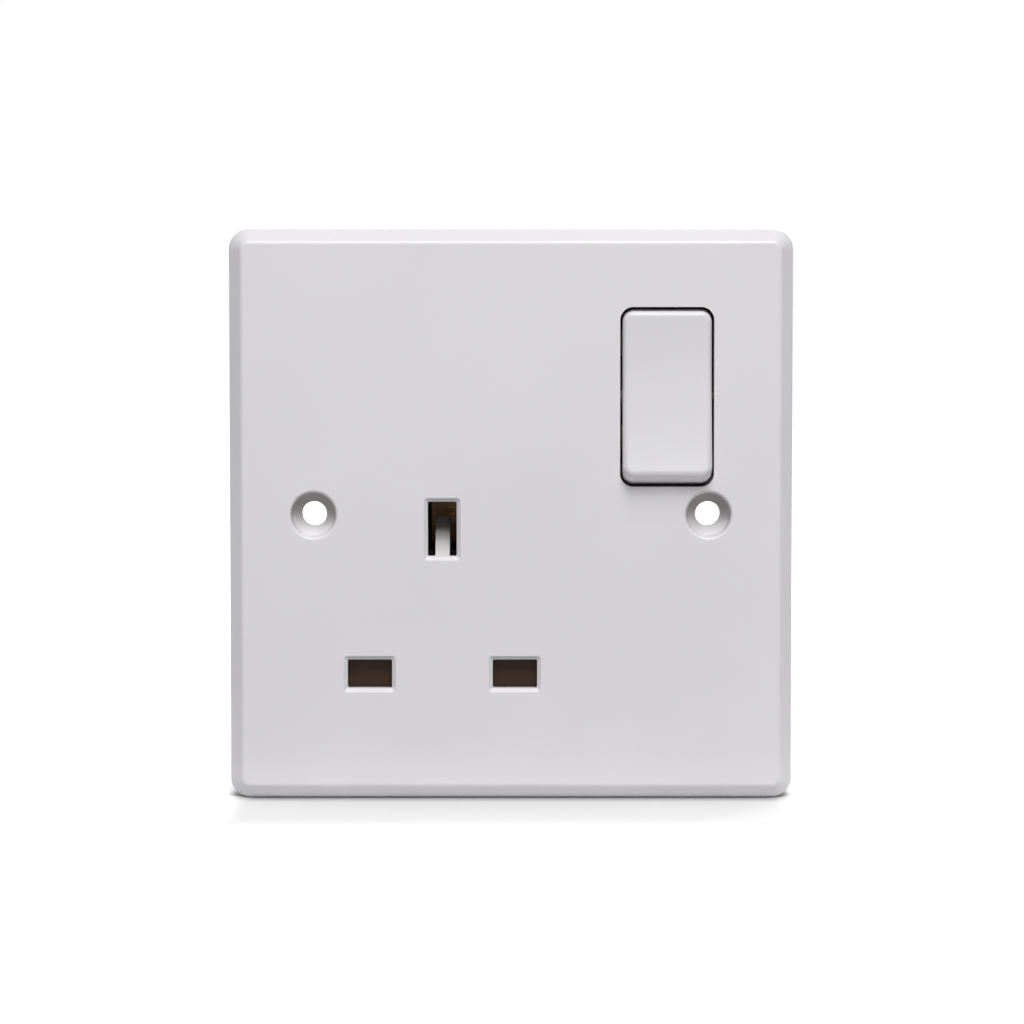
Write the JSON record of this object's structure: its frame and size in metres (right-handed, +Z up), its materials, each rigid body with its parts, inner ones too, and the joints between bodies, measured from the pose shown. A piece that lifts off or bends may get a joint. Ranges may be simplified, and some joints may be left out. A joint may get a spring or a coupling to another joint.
{
  "type": "switched socket outlet",
  "caption": "Square wall plate with three rectangular pin apertures, a rocker switch at the upper right and two countersunk fixing holes",
  "frame": {"origin": "on the wall plane, midway between the two fixing holes", "axes": "+Y into the wall, +Z up, +X to the right of someone facing the plate"},
  "size_m": [0.086, 0.0296, 0.087],
  "materials": {
    "plate_white": "white moulded plastic, semi-gloss",
    "rocker_white": "white moulded plastic, semi-gloss",
    "base_brown": "dark brown moulded plastic",
    "cover_brown": "dark brown moulded plastic",
    "shutter_brown": "brown moulded plastic",
    "cam_white": "natural white moulded plastic",
    "plunger_white": "natural white moulded plastic",
    "contact_brass": "rolled brass strip",
    "tip_silver": "bright contact metal",
    "terminal_brass": "machined brass",
    "screw_steel": "plated steel",
    "spring_steel": "spring wire"
  },
  "bodies": {
    "housing": {"front_plate": "plate_white", "rear_base": "base_brown", "shutter_cover": "cover_brown", "base_screw_lower_left": "screw_steel", "base_screw_upper_left": "screw_steel", "base_screw_lower_right": "screw_steel", "base_screw_upper_right": "screw_steel", "fixed_contact": "contact_brass", "fixed_contact_tip": "tip_silver", "line_contact": "contact_brass", "neutral_contact": "contact_brass", "earth_contact": "contact_brass", "line_terminal": "terminal_brass", "neutral_terminal": "terminal_brass", "earth_terminal": "terminal_brass", "shutter_spring": "spring_steel"},
    "rocker": {"rocker": "rocker_white", "rocker_spring": "spring_steel"},
    "plunger": {"rocker_plunger": "plunger_white"},
    "switch_arm": {"moving_contact": "contact_brass", "moving_contact_tip": "tip_silver"},
    "shutter": {"shutter": "shutter_brown", "shutter_cam": "cam_white"},
    "line_screw": {"line_terminal_screw": "screw_steel"},
    "neutral_screw": {"neutral_terminal_screw": "screw_steel"},
    "earth_screw": {"earth_terminal_screw": "screw_steel"}
  },
  "joints": [
    {"name": "rocker_swing", "type": "hinge", "parent": "housing", "child": "rocker", "pos_m": [0.0238, -0.0057, 0.018], "axis": [1, 0, 0], "range_deg": [0, 13]},
    {"name": "plunger_slide", "type": "slide", "parent": "rocker", "child": "plunger", "axis": [0, -0.9936, 0.1132], "range_m": [0, 0.0003], "stiffness_N_per_m": 400, "springref_m": -0.0015},
    {"name": "switch_arm_rock", "type": "hinge", "parent": "housing", "child": "switch_arm", "pos_m": [0.0238, 0.00666, 0.018], "axis": [1, 0, 0], "range_deg": [-20, 0]},
    {"name": "shutter_slide", "type": "slide", "parent": "housing", "child": "shutter", "axis": [0, 0, -1], "range_m": [0, 0.0053], "stiffness_N_per_m": 150, "springref_m": -0.004, "deforming": ["shutter_spring"]},
    {"name": "line_screw_travel", "type": "slide", "parent": "housing", "child": "line_screw", "axis": [0, -1, 0], "range_m": [0, 0.0035]},
    {"name": "neutral_screw_travel", "type": "slide", "parent": "housing", "child": "neutral_screw", "axis": [0, -1, 0], "range_m": [0, 0.0035]},
    {"name": "earth_screw_travel", "type": "slide", "parent": "housing", "child": "earth_screw", "axis": [0, -1, 0], "range_m": [0, 0.0035]}
  ],
  "couplings": [
    {"joint": "switch_arm_rock", "follows": "rocker_swing", "ratio": -1.538}
  ]
}
